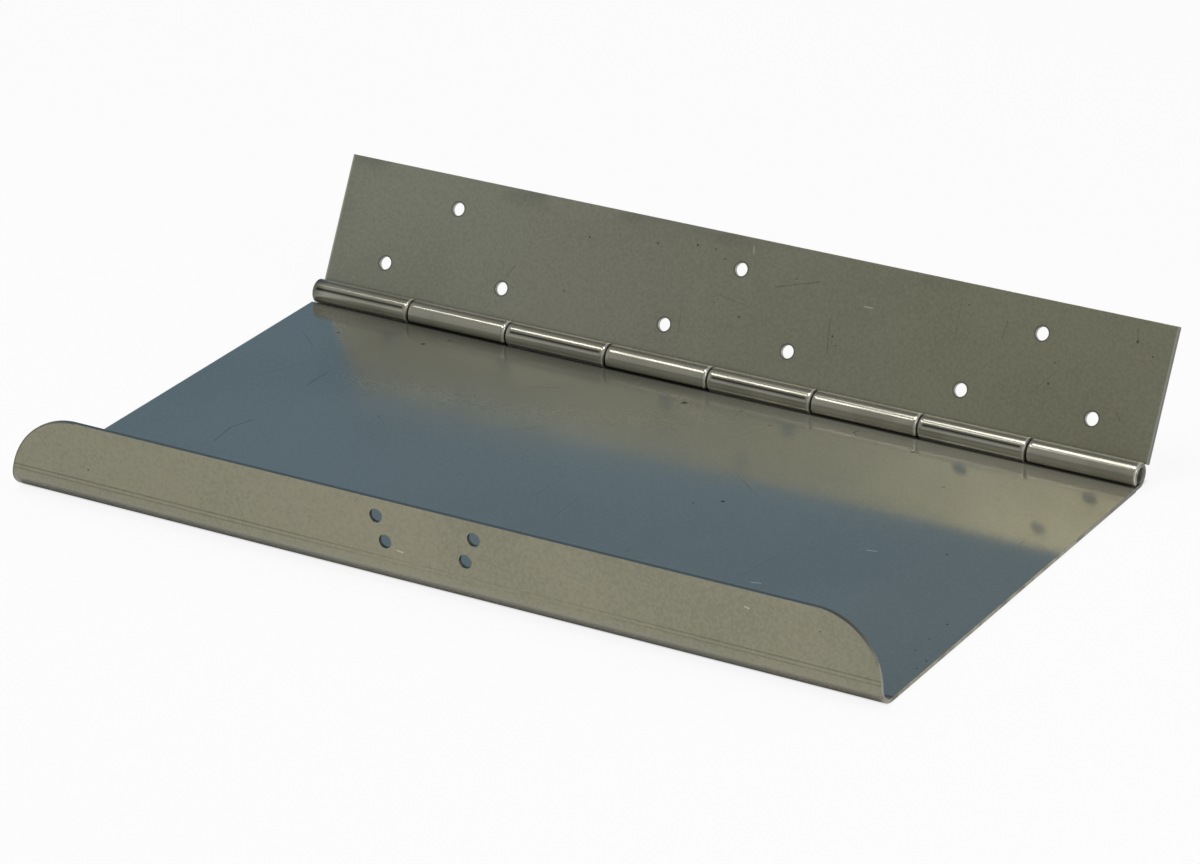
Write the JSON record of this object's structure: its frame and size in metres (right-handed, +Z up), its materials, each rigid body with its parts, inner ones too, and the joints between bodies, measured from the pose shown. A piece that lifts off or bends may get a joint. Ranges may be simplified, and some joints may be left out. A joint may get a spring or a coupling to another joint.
{
  "type": "boat trim tab",
  "caption": "Hinged sheet-steel trim tab for a boat: a flat plane with an upturned, round-cornered trailing lip, on a rolled pin hinge to a leaning transom plate with screw holes.",
  "frame": {"origin": "middle of the plane's flat underside, half way between the lip's outer face and the hinge axis", "axes": "+X along the hinge, to the right when looking from the lip towards the transom plate; +Y from the lip to the transom plate; +Z up"},
  "size_m": [0.45, 0.2892, 0.066],
  "materials": {
    "plane_sheet": "satin mill finish",
    "transom_sheet": "satin mill finish",
    "pin_steel": "drawn bar"
  },
  "bodies": {
    "plane": {"trim_plane": "plane_sheet", "hinge_pin": "pin_steel"},
    "transom": {"transom_plate": "transom_sheet"}
  },
  "joints": [
    {"name": "transom_hinge", "type": "hinge", "parent": "plane", "child": "transom", "pos_m": [0, 0.1255, 0.00605], "axis": [1, 0, 0], "range_deg": [-62, 118]}
  ]
}
